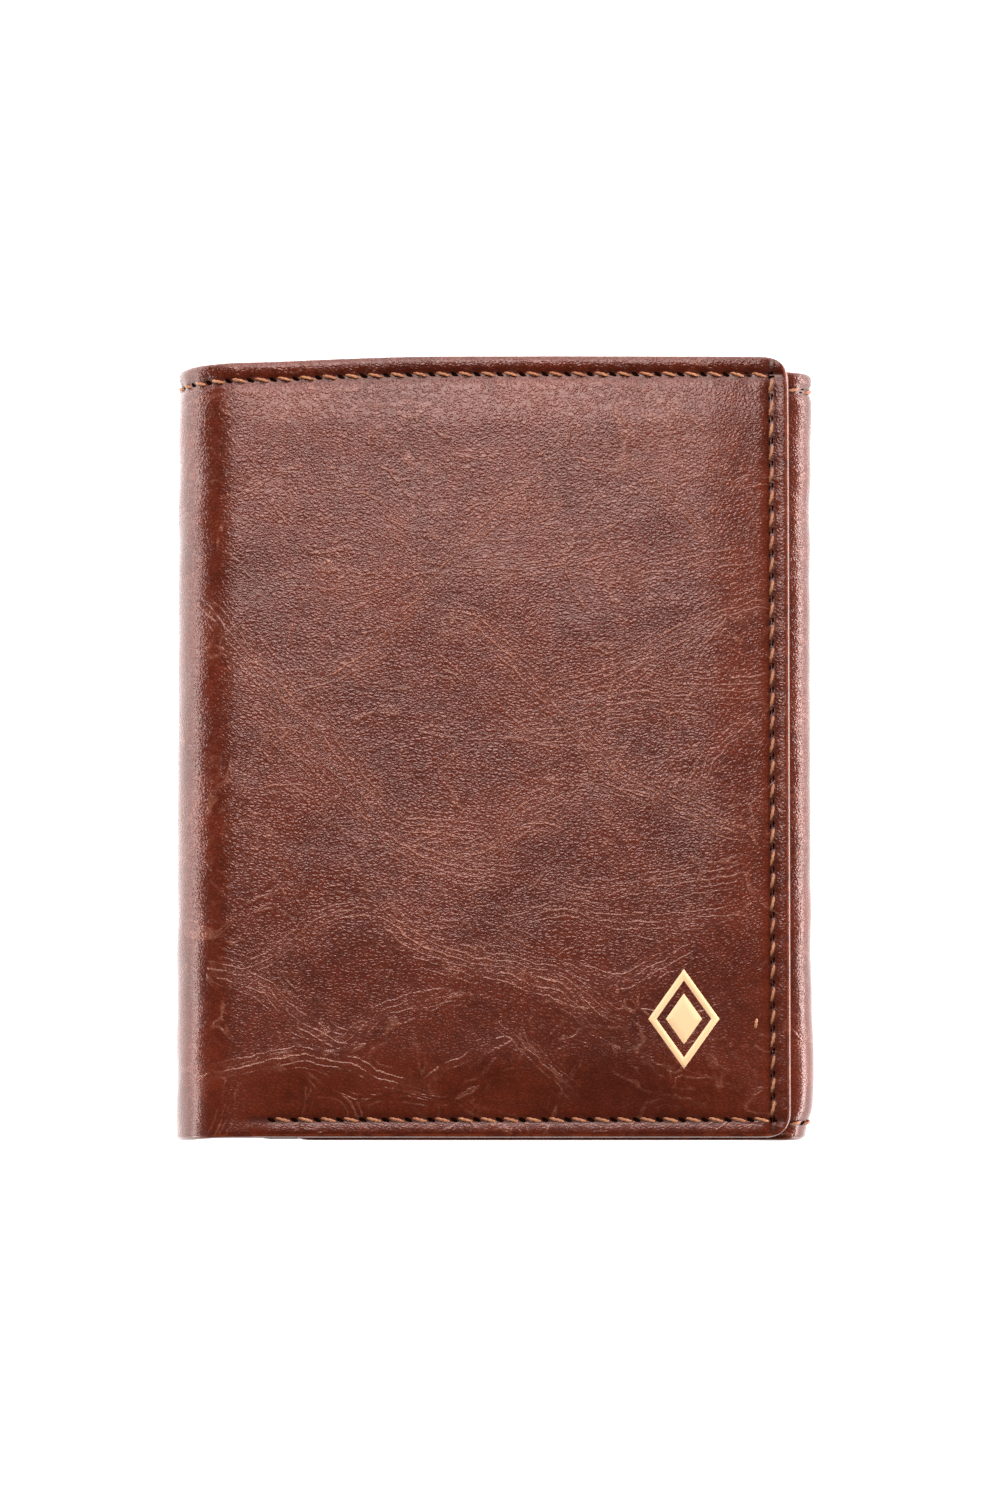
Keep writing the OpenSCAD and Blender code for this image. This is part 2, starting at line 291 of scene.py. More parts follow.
class Mesh:
    """Collects vertices, faces, UVs and one material number per face."""

    def __init__(self):
        self.points, self.uvs, self.marks = [], [], []
        self.faces, self.slots = [], []
        self.count = 0

    def add(self, points, uvs, marks=None):
        """Adds vertices; marks holds the painted seam shade and edge darkening, and two creases'
        distance and share for each.
        """
        start = self.count
        points = np.asarray(points, float).reshape(-1, 3)
        self.points.append(points)
        self.uvs.append(np.asarray(uvs, float).reshape(-1, 2))
        self.marks.append(np.zeros((len(points), 5)) if marks is None else marks.reshape(-1, 5))
        self.count += len(points)
        return start

    def face(self, faces, slot=0):
        """Adds faces of equal size that use one material."""
        faces = np.asarray(faces, int)
        self.faces.extend(faces.tolist())
        self.slots.extend([slot] * len(faces))

    def make(self, name, materials, flip):
        """Makes the object; flip turns its faces' outsides round."""
        mesh = bpy.data.meshes.new(name)
        faces = [f[::-1] for f in self.faces] if flip else self.faces
        mesh.from_pydata(np.concatenate(self.points).tolist(), [], faces)
        mesh.polygons.foreach_set("use_smooth", [True] * len(faces))
        mesh.polygons.foreach_set("material_index", self.slots)
        loops = np.zeros(len(mesh.loops), int)
        mesh.loops.foreach_get("vertex_index", loops)
        layer = mesh.uv_layers.new(name="laid_out")
        layer.data.foreach_set("uv", np.concatenate(self.uvs)[loops].astype(np.float32).ravel())
        marks = np.concatenate(self.marks)
        # the painted seam shade and the darker edges
        seam_shade_edge_dark = mesh.attributes.new("seam_shade_edge_dark", "FLOAT", "POINT")
        seam_shade_edge_dark.data.foreach_set("value", marks[:, 0].astype(np.float32))
        for kind, first in (("falling", 1), ("rising", 3)):
            crease = mesh.attributes.new(kind, "FLOAT_VECTOR", "POINT")
            pair = np.column_stack([marks[:, first : first + 2], np.zeros(len(marks))])
            crease.data.foreach_set("vector", pair.astype(np.float32).ravel())
        for material in materials:
            mesh.materials.append(material)
        mesh.validate()
        mesh.update()
        mesh.set_sharp_from_angle(angle=SHARP)
        piece = bpy.data.objects.new(name, mesh)
        bpy.context.scene.collection.objects.link(piece)
        return piece


def lines(low, high, step, at=(), near=0.0, fine=None):
    """Positions from low to high, `step` apart, and `fine` apart within `near` of each of `at`."""
    spots = list(np.linspace(low, high, max(2, round((high - low) / step) + 1)))
    for centre in at:
        a, b = max(low, centre - near), min(high, centre + near)
        spots = [p for p in spots if not a < p < b]
        spots += list(np.linspace(a, b, max(2, round((b - a) / fine) + 1)))
    spots = np.array(sorted(spots))
    keep = np.concatenate([[True], np.diff(spots) > CLOSEST])
    return spots[keep]


def round_corner(e_s, e_y, radius):
    """Moves points of a square corner onto a round one; e_s and e_y are distances to the edges."""
    inside = (e_s < radius) & (e_y < radius)
    a, b = 1 - e_s / radius, 1 - e_y / radius
    new_s = radius * (1 - a * np.sqrt(np.clip(1 - b * b / 2, 0, 1)))
    new_y = radius * (1 - b * np.sqrt(np.clip(1 - a * a / 2, 0, 1)))
    return np.where(inside, new_s, e_s), np.where(inside, new_y, e_y)


def grid_faces(start, rows, columns, keep):
    """The quads of a grid of vertices, where keep is true."""
    index = start + np.arange(rows * columns).reshape(rows, columns)
    faces = np.stack([index[:-1, :-1], index[1:, :-1], index[1:, 1:], index[:-1, 1:]], -1)
    return faces[keep]


def border(index):
    """The indices round a grid's edge, once round."""
    return np.concatenate([index[:, 0], index[-1, 1:], index[-2::-1, -1], index[0, -2:0:-1]])


RIM_STEPS = 5


def rim_rings(mesh, panel, loop_s, loop_y, normal, d0, d1, rim, top_loop, low_loop, slots):
    """Closes a sheet's edge from its face, at depth d0, to its back, at d1, with a rounded rim."""
    count = len(loop_s)
    previous = top_loop
    for k in range(1, RIM_STEPS + 1):
        turn = math.pi * (k / RIM_STEPS - 0.5)
        if k == RIM_STEPS:
            current = low_loop
        else:
            out = rim * math.cos(turn)
            depth = (d0 + d1) / 2 + (d1 - d0) / 2 * math.sin(turn)
            s, y = loop_s + normal[:, 0] * out, loop_y + normal[:, 1] * out
            points = panel.place(s, y, depth)
            first = mesh.add(points, panel.uv(s, y + depth))
            current = first + np.arange(count)
        after = np.roll(np.arange(count), -1)
        quads = np.stack([previous, current, current[after], previous[after]], -1)
        for slot in np.unique(slots):
            mesh.face(quads[slots == slot], slot)
        previous = current


def outward(s, y, cut):
    """Unit vectors that point out of a closed loop in the (s, y) plane. Cut sides have no rim."""
    ds = np.roll(s, -1) - np.roll(s, 1)
    dy = np.roll(y, -1) - np.roll(y, 1)
    size = np.maximum(np.hypot(ds, dy), SAME)
    normal = np.stack([dy / size, -ds / size], -1)
    normal[cut, 0] = 0
    normal[cut, 1] = np.sign(normal[cut, 1]) * (np.abs(normal[cut, 1]) > 0.5)
    return normal


def sheet(panel, d0, d1, s0, s1, y0, y1, step, rounded=False, window=None, back_extra=None,
          at_s=(), at_y=(), near=0.0, fine=None, free_start=False, marks=None):
    """A closed sheet of one layer between the depths d0 and d1. y0 and y1 are functions of s.
    Its cut sides at the fold or at the back's middle are plain; its other sides get a rounded
    rim. The grid is fine within `near` of at_s and at_y, and window cuts a hole in it."""
    mesh = Mesh()
    rim = (d1 - d0) / 2
    free_end = panel.free or s1 < panel.end - 0.1 * MM
    s_first = s0 + (rim if free_start else 0)
    s_last = s1 - (rim if free_end else 0)
    column = lines(s_first, s_last, step, at_s, near, fine)
    low, high = y0(column) + rim, y1(column) - rim
    mid_low, mid_high = float(np.mean(low)), float(np.mean(high))
    rows = (lines(mid_low, mid_high, step, at_y, near, fine) - mid_low) / (mid_high - mid_low)
    grid_s = np.repeat(column[:, None], len(rows), 1)
    grid_y = low[:, None] + rows[None, :] * (high - low)[:, None]
    if rounded and free_end:
        for sign, edge in ((-1, low[:, None]), (1, high[:, None])):
            e_s, e_y = round_corner(column[-1] - grid_s, sign * (edge - grid_y), CORNER - rim)
            grid_s, grid_y = column[-1] - e_s, edge - sign * e_y
    shape = grid_s.shape
    keep = np.ones((shape[0] - 1, shape[1] - 1), bool)
    index = np.arange(grid_s.size).reshape(shape)
    loops = [border(index)]
    if window:
        mid_s = (column[:-1] + column[1:]) / 2
        mid_y = (grid_y[0, :-1] + grid_y[0, 1:]) / 2
        hole_s = (mid_s > window[0]) & (mid_s < window[1])
        hole_y = (mid_y > window[2]) & (mid_y < window[3])
        keep &= ~(hole_s[:, None] & hole_y[None, :])
        i0, i1 = (int(np.argmin(abs(column - side))) for side in window[:2])
        j0, j1 = (int(np.argmin(abs(grid_y[0] - side))) for side in window[2:])
        loops.append(border(index[i0 : i1 + 1, j0 : j1 + 1])[::-1])
    extra = back_extra(grid_s, grid_y) if back_extra else 0
    own_marks = marks(grid_s, grid_y) if marks else None
    uv = panel.uv(grid_s, grid_y)
    top = mesh.add(panel.place(grid_s, grid_y, d0), uv, own_marks)
    back = mesh.add(panel.place(grid_s, grid_y, d1 + extra), uv)
    mesh.face(grid_faces(top, *shape, keep))
    mesh.face(grid_faces(back, *shape, keep)[:, ::-1])
    for loop in loops:
        s, y = grid_s.ravel()[loop], grid_y.ravel()[loop]
        outside = loop is loops[0]
        cut = (s <= column[0] + SAME) & (outside and not free_start)
        cut |= (s >= column[-1] - SAME) & (outside and not free_end)
        normal = outward(s, y, cut)
        # the edge is painted, but not where it is cut or turned over at the top
        painted = ~(cut & np.roll(cut, -1))
        if outside:
            painted &= normal[:, 1] < 0.5
        d_back = d1 + (back_extra(s, y) if back_extra else 0)
        rim_rings(mesh, panel, s, y, normal, d0, d_back, rim, top + loop, back + loop,
                  painted.astype(int))
    return mesh


# -------- materials


class Nodes:
    """A node material, written as calls."""

    def __init__(self, name):
        self.material = bpy.data.materials.new(name)
        self.material.use_nodes = True
        self.tree = self.material.node_tree
        self.tree.nodes.clear()
        self.output = self.tree.nodes.new("ShaderNodeOutputMaterial")

    def put(self, kind, inputs=None, **settings):
        """Adds a node; inputs are numbers, colours or other nodes' outputs."""
        node = self.tree.nodes.new("ShaderNode" + kind)
        for key, value in settings.items():
            setattr(node, key, value)
        for key, value in (inputs or {}).items():
            self.set(node.inputs[key], value)
        return node

    def set(self, socket, value):
        """Links an output to a socket, or sets the socket to a constant."""
        if isinstance(value, bpy.types.NodeSocket):
            self.tree.links.new(value, socket)
        else:
            socket.default_value = value

    def math(self, operation, *values):
        """The result of one Math node."""
        return self.put("Math", dict(enumerate(values)), operation=operation).outputs[0]

    def times(self, a, b):
        """The product of two values."""
        return self.math("MULTIPLY", a, b)

    def place(self):
        """The piece's own coordinates."""
        return self.put("TexCoord").outputs["Object"]

    def range(self, value, low, high, to_low=0.0, to_high=1.0):
        """A smooth step from to_low to to_high as the value goes from low to high."""
        inputs = {0: value, 1: low, 2: high, 3: to_low, 4: to_high}
        return self.put("MapRange", inputs, interpolation_type="SMOOTHSTEP").outputs[0]

    def mix(self, share, a, b):
        """A colour between a and b."""
        return self.put("Mix", {0: share, 6: a, 7: b}, data_type="RGBA").outputs[2]

    def laid_out(self, turn=0.0, shift=0.0):
        """The leather's own flat coordinates in millimetres, turned and shifted."""
        uv = self.put("UVMap", uv_map="laid_out").outputs[0]
        return self.put("Mapping", {"Vector": uv, "Location": (shift, shift, 0),
                                    "Rotation": (0, 0, math.radians(turn)),
                                    "Scale": (1 / MM, 1 / MM, 1 / MM)}).outputs[0]

    def stretch(self, vector, *scale):
        """The vector scaled along its axes; a scale below 1 draws the pattern out."""
        return self.put("Mapping", {"Vector": vector, "Scale": scale}).outputs[0]

    def noise(self, vector, scale, detail=2.0, roughness=0.5):
        """A noise node's outputs: its value and its colour."""
        return self.put("TexNoise", {"Vector": vector, "Scale": scale, "Detail": detail,
                                     "Roughness": roughness}).outputs

    def warp(self, vector, scale, amount):
        """The vector pushed about by a smooth noise."""
        centred = self.put("VectorMath", {0: self.noise(vector, scale)[1], 1: (0.5, 0.5, 0.5)},
                           operation="SUBTRACT").outputs[0]
        return self.put("VectorMath", {0: centred, 1: (amount, amount, 0), 2: vector},
                        operation="MULTIPLY_ADD").outputs[0]

    def cells(self, vector, scale):
        """The distance to the nearest edge of a net of random cells."""
        return self.put("TexVoronoi", {"Vector": vector, "Scale": scale},
                        feature="DISTANCE_TO_EDGE").outputs[0]

    def bump(self, height, distance):
        """The normal over a relief of the given height."""
        return self.put("Bump", {"Height": height, "Distance": distance,
                                 "Strength": 1.0}).outputs[0]

    def principled(self, **inputs):
        """Ends the material with one shader and returns it."""
        names = {"color": "Base Color", "roughness": "Roughness", "normal": "Normal",
                 "coat": "Coat Weight", "coat_roughness": "Coat Roughness",
                 "coat_normal": "Coat Normal", "sheen": "Sheen Weight",
                 "sheen_roughness": "Sheen Roughness", "alpha": "Alpha",
                 "specular": "Specular IOR Level", "tint": "Specular Tint",
                 "emission": "Emission Color", "emission_strength": "Emission Strength"}
        node = self.put("BsdfPrincipled", {names[k]: v for k, v in inputs.items()})
        self.tree.links.new(node.outputs[0], self.output.inputs[0])
        return self.material


def rgb(red, green, blue):
    """An sRGB colour out of 255 as the linear colour that nodes use."""
    parts = [(c / 255 / 12.92 if c < 11 else ((c / 255 + 0.055) / 1.055) ** 2.4)
             for c in (red, green, blue)]
    return (*parts, 1.0)


# A crease is a bundle of thin ridges this far apart, in millimetres.
RIDGE_GAP = 1.0
DRAWN_WIDTH, NET_WIDTH = 0.17, 0.24
NET_BAND = 0.13
# A ridge is broken off where a noise is below the first number and whole above the second.
DRAWN_BREAK, NET_BREAK = (0.40, 0.60), (0.42, 0.62)
DRAWN_LEAST = 0.06
LAYER_STEP = 7.3
# The shares of the grain's three noises in the relief, and the creases' height beside them
PEBBLE, FINE, WRINKLE = 0.55, 0.35, 0.45
CREASE_HEIGHT = 2.0
RELIEF = 0.055 * MM
GLOSS_TINT = rgb(255, 214, 206)
RUBBED = rgb(142, 80, 64)
# The crease ridges' pale colour: partly the pull-up of waxed leather, partly a painted highlight.
RIDGE_PULLUP_AND_HIGHLIGHT = rgb(206, 138, 112)
# Painted shade in the grain's hollows.
GRAIN_SHADE = rgb(42, 14, 8)
# Painted shade in the seams' ditches, and the darker colour near the edges.
SEAM_SHADE_EDGE_COLOUR = rgb(38, 12, 7)


def ridges(n, distance, width):
    """Thin ridges along lines of equal distance."""
    swing = n.math("PINGPONG", distance, RIDGE_GAP / 2)
    return n.range(swing, 0.0, width, 1.0, 0.0)


def wandering(n, distance):
    """A distance in millimetres that wanders, so that lines drawn along it look torn by hand."""
    slow = n.math("SUBTRACT", n.noise(n.laid_out(shift=5), 0.16, 2)[0], 0.5)
    quick = n.math("SUBTRACT", n.noise(n.laid_out(shift=9), 0.8, 3, 0.6)[0], 0.5)
    moved = n.math("MULTIPLY_ADD", slow, 2.4, distance)
    return n.math("MULTIPLY_ADD", quick, 0.7, moved)


def drawn_creases(n, name):
    """Bundles of fine ridges beside the crease paths that the mesh carries."""
    where = n.put("Attribute", attribute_name=name).outputs["Vector"]
    parts = n.put("SeparateXYZ", {0: where}).outputs
    distance = wandering(n, parts[0])
    # each ridge is broken in its own places, by its own layer of the noise
    layer = n.put("CombineXYZ", {2: n.times(n.math("ROUND", distance), LAYER_STEP)})
    own = n.put("VectorMath", {0: n.laid_out(), 1: layer.outputs[0]}, operation="ADD").outputs[0]
    broken = n.range(n.noise(own, 0.3, 3, 0.6)[0], *DRAWN_BREAK)
    share = n.times(parts[1], n.math("ADD", broken, DRAWN_LEAST))
    return n.times(ridges(n, distance, DRAWN_WIDTH), share), parts[1]


def net_creases(n, size, turn, shift):
    """Fine ridges beside the edges of a loose net of large cells."""
    vector = n.warp(n.laid_out(turn, shift), 0.06, 12.0)
    distance = n.times(n.cells(n.stretch(vector, 0.7, 1, 1), 1 / size), size)
    near = n.range(distance, 0.0, NET_BAND * size, 1.0, 0.0)
    broken = n.range(n.noise(n.laid_out(shift=shift), 0.3, 3, 0.6)[0], *NET_BREAK)
    drawn = ridges(n, wandering(n, distance), NET_WIDTH)
    return n.times(drawn, n.times(near, broken))


def leather(name, dark, light, crease=1.0, grain=1.0, roughness=0.25, coat=0.06):
    """Waxed leather: fine pebbled grain, bundles of thin creases and faintly clouded colour."""
    n = Nodes(name)
    flow = n.warp(n.laid_out(12), 0.045, 5.0)
    stretched = n.stretch(flow, 0.75, 1, 1)
    pebble = n.range(n.cells(n.warp(stretched, 1.3, 0.35), 2.3), 0.0, 0.36)
    fine = n.noise(stretched, 4.2, 3, 0.6)[0]
    wrinkle = n.noise(n.warp(n.stretch(flow, 0.35, 1, 1), 0.5, 0.8), 1.3, 3, 0.6)[0]
    net = n.math("MAXIMUM", net_creases(n, 19.0, 20, 11), net_creases(n, 11.0, -30, 47))
    falling, rising = drawn_creases(n, "falling"), drawn_creases(n, "rising")
    drawn = n.math("MAXIMUM", falling[0], rising[0])
    rubbed = n.math("MAXIMUM", falling[1], rising[1])
    creases = n.math("MAXIMUM", n.times(net, 0.32), drawn)

    # colour: clouds and blotches, then rubbed creases, their ridges lighter as pull-up and as a
    # painted highlight, painted shade in the grain's hollows and in the seams' ditches, and darker
    # edges
    seam_shade_edge_dark = n.put("Attribute", attribute_name="seam_shade_edge_dark").outputs["Fac"]
    cloud = n.noise(n.laid_out(shift=3), 0.06, 3, 0.55)[0]
    blotch = n.noise(n.laid_out(shift=19), 0.5, 3, 0.6)[0]
    tone = n.math("ADD", n.times(cloud, 0.6), n.times(blotch, 0.4))
    colour = n.mix(n.range(tone, 0.36, 0.64), dark, light)
    colour = n.mix(n.times(rubbed, 0.16), colour, RUBBED)
    # lighter ridges: partly the leather's pull-up, partly a painted highlight
    colour = n.mix(n.times(creases, 0.55 * crease), colour, RIDGE_PULLUP_AND_HIGHLIGHT)
    # painted shade in the grain's hollows, darkest at the cells' edges
    colour = n.mix(n.range(pebble, 0.0, 0.6, 0.34, 0.0), colour, GRAIN_SHADE)
    # painted shade in the seams' ditches, and a darker colour near the edges
    colour = n.mix(n.times(seam_shade_edge_dark, 0.85), colour, SEAM_SHADE_EDGE_COLOUR)

    # relief: the grain is flatter towards the bottom and along the darkened seams and edges
    height = n.times(pebble, PEBBLE * grain)
    height = n.math("MULTIPLY_ADD", fine, FINE * grain, height)
    height = n.math("MULTIPLY_ADD", wrinkle, WRINKLE * grain, height)
    along_y = n.put("SeparateXYZ", {0: n.laid_out()}).outputs[1]
    raised = n.range(n.math("MULTIPLY_ADD", tone, 24.0, along_y), -38.0, 4.0, 0.42, 1.0)
    away_from_dark_seams_and_edges = n.range(seam_shade_edge_dark, 0.1, 0.6, 1.0, 0.4)
    height = n.times(height, n.times(raised, away_from_dark_seams_and_edges))
    height = n.math("MULTIPLY_ADD", creases, CREASE_HEIGHT * crease, height)
    normal = n.bump(height, RELIEF)
    rough = n.range(fine, 0.3, 0.7, roughness - 0.05, roughness + 0.07)
    rough = n.math("MULTIPLY_ADD", seam_shade_edge_dark, 0.12, rough)
    return n.principled(color=colour, roughness=rough, normal=normal, coat=coat,
                        coat_roughness=0.22, coat_normal=normal, tint=GLOSS_TINT)


def edge_paint():
    """The glossy orange-brown paint on the cut edges."""
    n = Nodes("edge_paint")
    vector = n.place()
    spots = n.noise(vector, 900.0, 3)[0]
    colour = n.mix(n.range(spots, 0.3, 0.7), rgb(78, 28, 13), rgb(112, 46, 22))
    return n.principled(color=colour, roughness=0.3, coat=0.4, coat_roughness=0.2,
                        normal=n.bump(spots, 0.03 * MM))


def thread():
    """Waxed tan thread with fine fibres along the twist."""
    n = Nodes("thread")
    vector = n.place()
    fibre = n.noise(n.stretch(vector, 1, 3, 1), 6000.0, 3)[0]
    broad = n.noise(vector, 240.0, 2)[0]
    colour = n.mix(n.range(fibre, 0.3, 0.7), rgb(112, 58, 34), rgb(204, 134, 84))
    colour = n.mix(n.range(broad, 0.35, 0.65, 0.0, 0.45), colour, rgb(140, 70, 44))
    return n.principled(color=colour, roughness=0.5, sheen=0.25, sheen_roughness=0.4,
                        normal=n.bump(fibre, 0.04 * MM))


def painted_hole_shade():
    """Painted shade: a near-black colour that stands for the shade inside a stitch hole."""
    n = Nodes("painted_hole_shade")
    vector = n.place()
    colour = n.mix(n.range(n.noise(vector, 3000.0)[0], 0.3, 0.7), rgb(12, 4, 2), rgb(26, 9, 5))
    return n.principled(color=colour, roughness=1.0, specular=0.0)


def cloth():
    """Plain-woven dark brown lining."""
    n = Nodes("lining_cloth")
    vector = n.laid_out()
    across, along = (n.put("TexWave", {"Vector": vector, "Scale": 0.85, "Distortion": 0.6,
                                       "Detail Scale": 2.0}, bands_direction=axis).outputs[1]
                     for axis in "XY")
    weave = n.times(across, along)
    slub = n.noise(vector, 0.8, 3)[0]
    colour = n.mix(weave, rgb(44, 28, 22), rgb(92, 64, 50))
    colour = n.mix(n.range(slub, 0.35, 0.65, 0.0, 0.3), colour, rgb(60, 40, 32))
    return n.principled(color=colour, roughness=0.75, sheen=0.3, sheen_roughness=0.5,
                        normal=n.bump(weave, 0.08 * MM))


def foil():
    """Cream foil pressed onto the leather."""
    n = Nodes("foil")
    vector = n.laid_out()
    speck = n.noise(vector, 5.0, 3)[0]
    colour = n.mix(n.range(speck, 0.35, 0.7, 0.0, 0.25), rgb(243, 198, 150), rgb(234, 186, 136))
    return n.principled(color=colour, roughness=0.6, normal=n.bump(speck, 0.02 * MM))


def film():
    """Clear vinyl with a faint haze."""
    n = Nodes("window_film")
    haze = n.noise(n.laid_out(), 0.2, 3)[0]
    colour = n.mix(haze, rgb(226, 232, 232), rgb(246, 250, 250))
    return n.principled(color=colour, roughness=0.12, alpha=0.28, coat=0.5,
                        coat_roughness=0.08, normal=n.bump(haze, 0.15 * MM))


def felt():
    """Grey felt."""
    n = Nodes("filler_felt")
    fuzz = n.noise(n.laid_out(), 2.5, 4, 0.7)[0]
    colour = n.mix(fuzz, rgb(150, 146, 138), rgb(206, 202, 194))
    return n.principled(color=colour, roughness=0.9, normal=n.bump(fuzz, 0.15 * MM))


OUTER_LEATHER = leather("outer_leather", rgb(76, 25, 11), rgb(98, 36, 18))
INNER_LEATHER = leather("inner_leather", rgb(66, 26, 16), rgb(86, 38, 25), crease=0.3, grain=0.7,
                        roughness=0.45, coat=0.0)
EDGE_PAINT = edge_paint()
THREAD = thread()
# painted shade inside the stitch holes
PAINTED_HOLE_SHADE = painted_hole_shade()
CLOTH = cloth()
FOIL = foil()
FILM = film()
FELT = felt()

# -------- how pieces move


def bend(piece):
    """Bakes the place of a piece that crosses a fold into its mesh, without attaching it to a
    body.
    """
    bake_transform(piece)


def finish_piece(mesh, name, panel, materials, replaced, crosses=True):
    """Makes the object, hides the CAD parts that it replaces, and attaches it to its panel's body
    or bakes it in place.
    """
    piece = mesh.make(name, materials, panel.flipped)
    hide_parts(*replaced)
    if crosses:
        bend(piece)
    else:
        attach(piece, panel.body)
    return piece


# -------- leather skin, linings, divider

HEM = 3.6 * MM
HEM_END = 4.2 * MM
HEM_EXTRA = 0.3 * MM
SKIVE_NEAR, SKIVE_FAR = 0.3 * MM, 1.5 * MM
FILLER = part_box("outer_flap_filler")
FILLER_T = FILLER[1].z - FILLER[0].z


def hem_turn(panel):
    """How much deeper the skin's back is where its top edge is turned over, and how much
    less deep where it is skived to take the filler."""
    def extra(s, y):
        turned = HEM_EXTRA * (1 - smooth(panel.top(s) - y, HEM, HEM_END))
        if panel is not OUTER:
            return turned
        e_s = np.minimum(s - panel.s_of(FILLER[0].x), panel.s_of(FILLER[1].x) - s)
        e_y = np.minimum(y - FILLER[0].y, FILLER[1].y - y)
        return turned - FILLER_T * smooth(np.minimum(e_s, e_y), -SKIVE_FAR, -SKIVE_NEAR)
    return extra


# The outer flap's own creases: strength, half width in millimetres, and points in the flap's
# plane in millimetres. The first set falls towards the free edge, the second rises towards it.
FALLING = (
    (1.0, 2.0, (-42, 22), (-35, 14), (-27, 6), (-20, -3), (-14, -9.5), (-8, -11), (1, -11)),
    (0.8, 2.0, (-35, 7), (-28, 1), (-22, -5), (-16, -11), (-9, -15.5), (-2, -17), (5, -17)),
    (1.0, 1.8, (-10, 18), (-3, 18), (3, 12), (10, 5), (16, -2), (24, -7), (31, -10.5), (37, -13)),
    (0.6, 2.0, (10, 41), (17, 40), (24, 35), (32, 29)),
    (1.0, 1.5, (-41, -30), (-33, -33), (-27, -38), (-20, -41.5)),
    (1.0, 2.0, (-18, -22), (-10, -27.5), (-3, -29.5), (3, -31), (9, -33), (18, -39)),
    (0.8, 1.2, (-40, -45), (-30, -43), (-22, -43.5), (-15, -46), (-7, -48)),
    (0.5, 1.0, (0, -38), (6, -43), (12, -49)),
    (0.5, 1.4, (-25, 37), (-18, 36), (-12, 31)),
    (0.6, 1.2, (-36, -5.5), (-27, -5), (-21, -8)),
    (0.5, 2.0, (5, -18), (14, -20), (24, -19), (37, -17)),
    (0.5, 2.2, (20, 10), (28, 9), (39, 10)),
)
RISING = (
    (0.9, 1.7, (-31, 8), (-20, 12), (-13, 19), (-6, 27), (0, 33), (7, 38)),
    (0.6, 1.5, (-25, 21), (-16, 22.5), (-8, 25.5), (0, 25.5), (10, 26), (22, 29)),
    (0.9, 1.8, (-6, -16), (0, -13), (4, -8), (10, -5)),
    (0.7, 2.2, (7, 8), (16, 10), (24, 15), (33, 20), (40, 21)),
    (0.6, 1.8, (19, 24), (28, 26), (38, 28)),
    (0.7, 1.3, (27, -7), (31, 0), (37, 5)),
    (0.8, 1.3, (-36, -32), (-29, -27), (-22, -22.5), (-15, -23)),
    (0.7, 1.2, (-21, -41), (-14, -36), (-5, -34)),
    (0.5, 1.0, (-10, -46), (-3, -42), (3, -40)),
    (0.6, 2.4, (2, 2), (12, 4), (20, 6), (30, 5)),
    (0.8, 1.0, (0, -14), (5, -10.5), (10, -11)),
    (0.6, 1.4, (0, -25), (8, -22.5), (18, -24), (38, -23)),
    (0.5, 1.6, (9, -30), (18, -32), (28, -27)),
)


# A crease fades in and out over these shares of its length, and ends at this many half widths.
CREASE_START, CREASE_END = 0.12, 0.85
CREASE_REACH = 3
CREASE_POINTS = 8


def smooth_path(points):
    """Points along a smooth curve through the given ones."""
    p = np.array([points[0], *points, points[-1]], float)
    t = np.linspace(0, 1, CREASE_POINTS, endpoint=False)[:, None]
    parts = []
    for a, b, c, d in zip(p, p[1:], p[2:], p[3:]):
        parts.append(b + t * (c - a) / 2 + t**2 * (a - 2.5 * b + 2 * c - d / 2)
                     + t**3 * (1.5 * b - 1.5 * c + (d - a) / 2))
    return np.concatenate([*parts, p[-1:]])


def crease_field(paths, x, y):
    """The signed distance to the strongest crease path at each point, and its share."""
    best, distance = np.zeros(x.shape), np.zeros(x.shape)
    for strength, width, *points in paths:
        curve = smooth_path(points)
        reach = CREASE_REACH * width
        near = (x > curve[:, 0].min() - reach) & (x < curve[:, 0].max() + reach)
        near &= (y > curve[:, 1].min() - reach) & (y < curve[:, 1].max() + reach)
        px, py = x[near], y[near]
        gap, side, run = np.full(px.shape, np.inf), np.zeros(px.shape), np.zeros(px.shape)
        for k, (a, b) in enumerate(zip(curve, curve[1:])):
            step = b - a
            t = np.clip(((px - a[0]) * step[0] + (py - a[1]) * step[1]) / (step @ step), 0, 1)
            dx, dy = px - a[0] - t * step[0], py - a[1] - t * step[1]
            d = np.hypot(dx, dy)
            closer = d < gap
            gap[closer] = d[closer]
            side[closer] = np.sign(step[0] * dy - step[1] * dx)[closer]
            run[closer] = (k + t[closer]) / (len(curve) - 1)
        taper = smooth(run, 0, CREASE_START) * (1 - smooth(run, CREASE_END, 1))
        share = strength * taper * np.exp(-((gap / width) ** 2))
        wins = share > best[near]
        spots = np.argwhere(near)[wins]
        best[tuple(spots.T)] = share[wins]
        distance[tuple(spots.T)] = (gap * side)[wins]
    return distance, best


# The painted shade along the seams' ditches and the darker colour near the edges.
SEAM_SHADE_WIDTH = 0.5 * MM
SEAM_SHADE, EDGE_DARK = 0.75, 0.35
EDGE_DARK_REACH = 1.3 * MM
SEWN_FROM = 3 * MM


